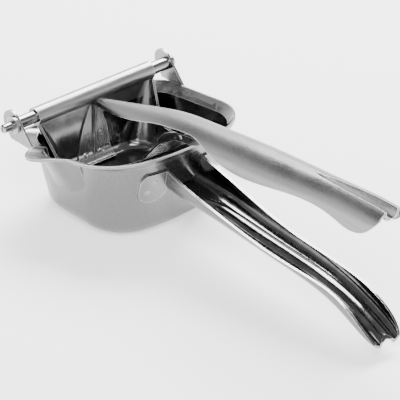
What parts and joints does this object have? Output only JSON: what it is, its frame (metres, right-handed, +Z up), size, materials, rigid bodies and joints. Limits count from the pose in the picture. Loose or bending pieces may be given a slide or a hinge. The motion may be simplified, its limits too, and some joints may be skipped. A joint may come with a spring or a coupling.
{
  "type": "hand-held citrus press",
  "caption": "Hand-held citrus press: a sheet-steel bowl with pouring lip and channel handle, and a hinged press head on a second channel handle, shown closed.",
  "frame": {"origin": "middle of the bowl's flat bottom, on the table", "axes": "+X from the hinge toward the grips, Y along the hinge axis with the pouring lip at -Y, +Z up; the press is closed and stands on the bottom of its bowl"},
  "size_m": [0.2358, 0.1121, 0.0816],
  "materials": {
    "bowl_steel": "satin brushed stainless",
    "ear_steel": "satin brushed stainless",
    "lower_handle_steel": "satin brushed stainless",
    "strainer_steel": "mirror polished stainless",
    "pin_steel": "mirror polished stainless",
    "bush_steel": "mirror polished stainless",
    "clip_steel": "mirror polished stainless",
    "head_steel": "mirror polished stainless",
    "upper_handle_steel": "satin brushed stainless",
    "tab_steel": "satin brushed stainless"
  },
  "bodies": {
    "base": {"bowl": "bowl_steel", "left_hinge_ear": "ear_steel", "right_hinge_ear": "ear_steel", "lower_handle": "lower_handle_steel", "strainer": "strainer_steel", "hinge_pin": "pin_steel", "hinge_bush": "bush_steel", "pin_clip": "clip_steel"},
    "press": {"press_head": "head_steel", "upper_handle": "upper_handle_steel", "root_tab": "tab_steel"}
  },
  "joints": [
    {"name": "press_swing", "type": "hinge", "parent": "base", "child": "press", "pos_m": [-0.038, 0, 0.0485], "axis": [0, -1, 0], "range_deg": [0, 150]}
  ]
}
